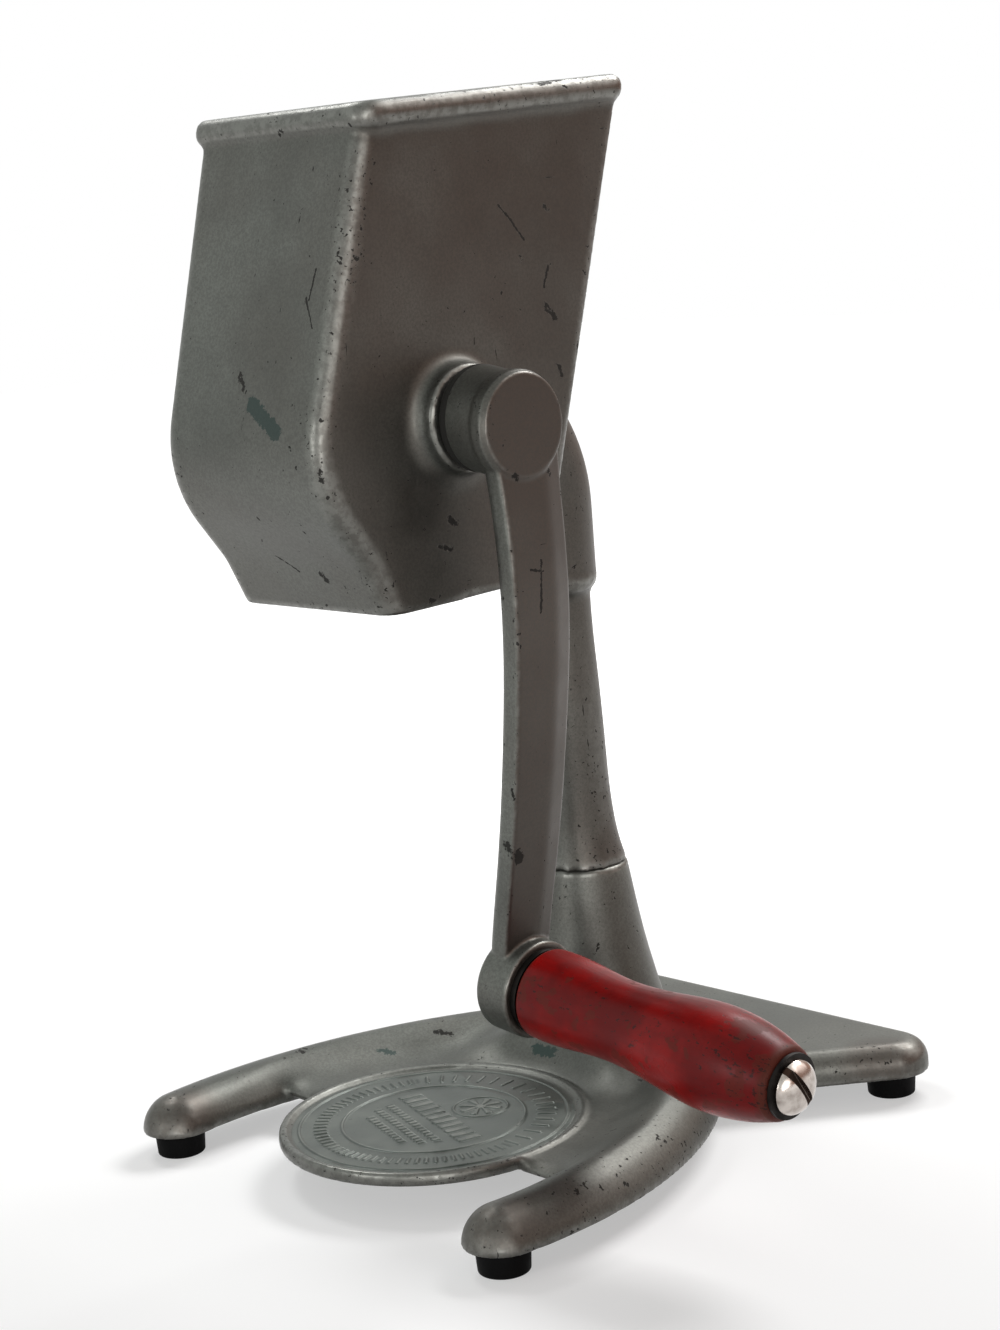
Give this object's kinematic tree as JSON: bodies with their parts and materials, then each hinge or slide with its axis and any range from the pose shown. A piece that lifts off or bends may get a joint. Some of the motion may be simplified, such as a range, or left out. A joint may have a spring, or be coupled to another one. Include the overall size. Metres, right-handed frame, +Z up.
{
  "type": "ice crusher",
  "caption": "Hand crank ice crusher on a cast stand: a tall leaning hopper above a round glass plate, with a toothed rotor turned by a long bowed crank and a turned wooden grip.",
  "frame": {"origin": "on the ground, in the middle of the object's overall width and depth", "axes": "+X towards the crank, +Y to the back where the pillar stands, +Z up"},
  "size_m": [0.2552, 0.2128, 0.3552],
  "materials": {
    "cast_metal": "worn satin casting",
    "bare_aluminium": "machined",
    "rubber": "matte black",
    "steel": "zinc plated",
    "dark_steel": "blackened",
    "brass": "oiled bearing bronze",
    "chrome": "worn polish",
    "red_wood": "worn gloss red lacquer"
  },
  "bodies": {
    "stand": {"base_casting": "cast_metal", "foot_front_left": "rubber", "foot_front_right": "rubber", "foot_rear_left": "rubber", "foot_rear_right": "rubber", "foot_washers": "steel", "foot_screws": "steel", "hopper_casting": "cast_metal", "locating_pin": "steel", "pedestal_bolt": "steel", "pedestal_washer": "steel", "pedestal_lock_washer": "steel", "right_bushing": "brass", "left_bushing": "brass", "breaker_comb": "bare_aluminium", "comb_screws": "steel"},
    "crank": {"drive_shaft": "steel", "right_thrust_washer": "steel", "left_thrust_washer": "steel", "retaining_ring": "steel", "rotor_drum": "bare_aluminium", "rotor_pin": "steel", "crank_arm": "cast_metal", "crank_set_screw": "steel", "handle_collar": "dark_steel", "handle_ferrule": "dark_steel", "handle_bolt": "chrome"},
    "grip": {"handle_grip": "red_wood"}
  },
  "joints": [
    {"name": "crank_turn", "type": "hinge", "parent": "stand", "child": "crank", "pos_m": [-0.0308, -0.04705, 0.2527], "axis": [1, 0, 0], "continuous": true},
    {"name": "grip_spin", "type": "hinge", "parent": "crank", "child": "grip", "pos_m": [0.0199, -0.03835, 0.0666], "axis": [0.9949, 0, -0.1011], "continuous": true}
  ]
}
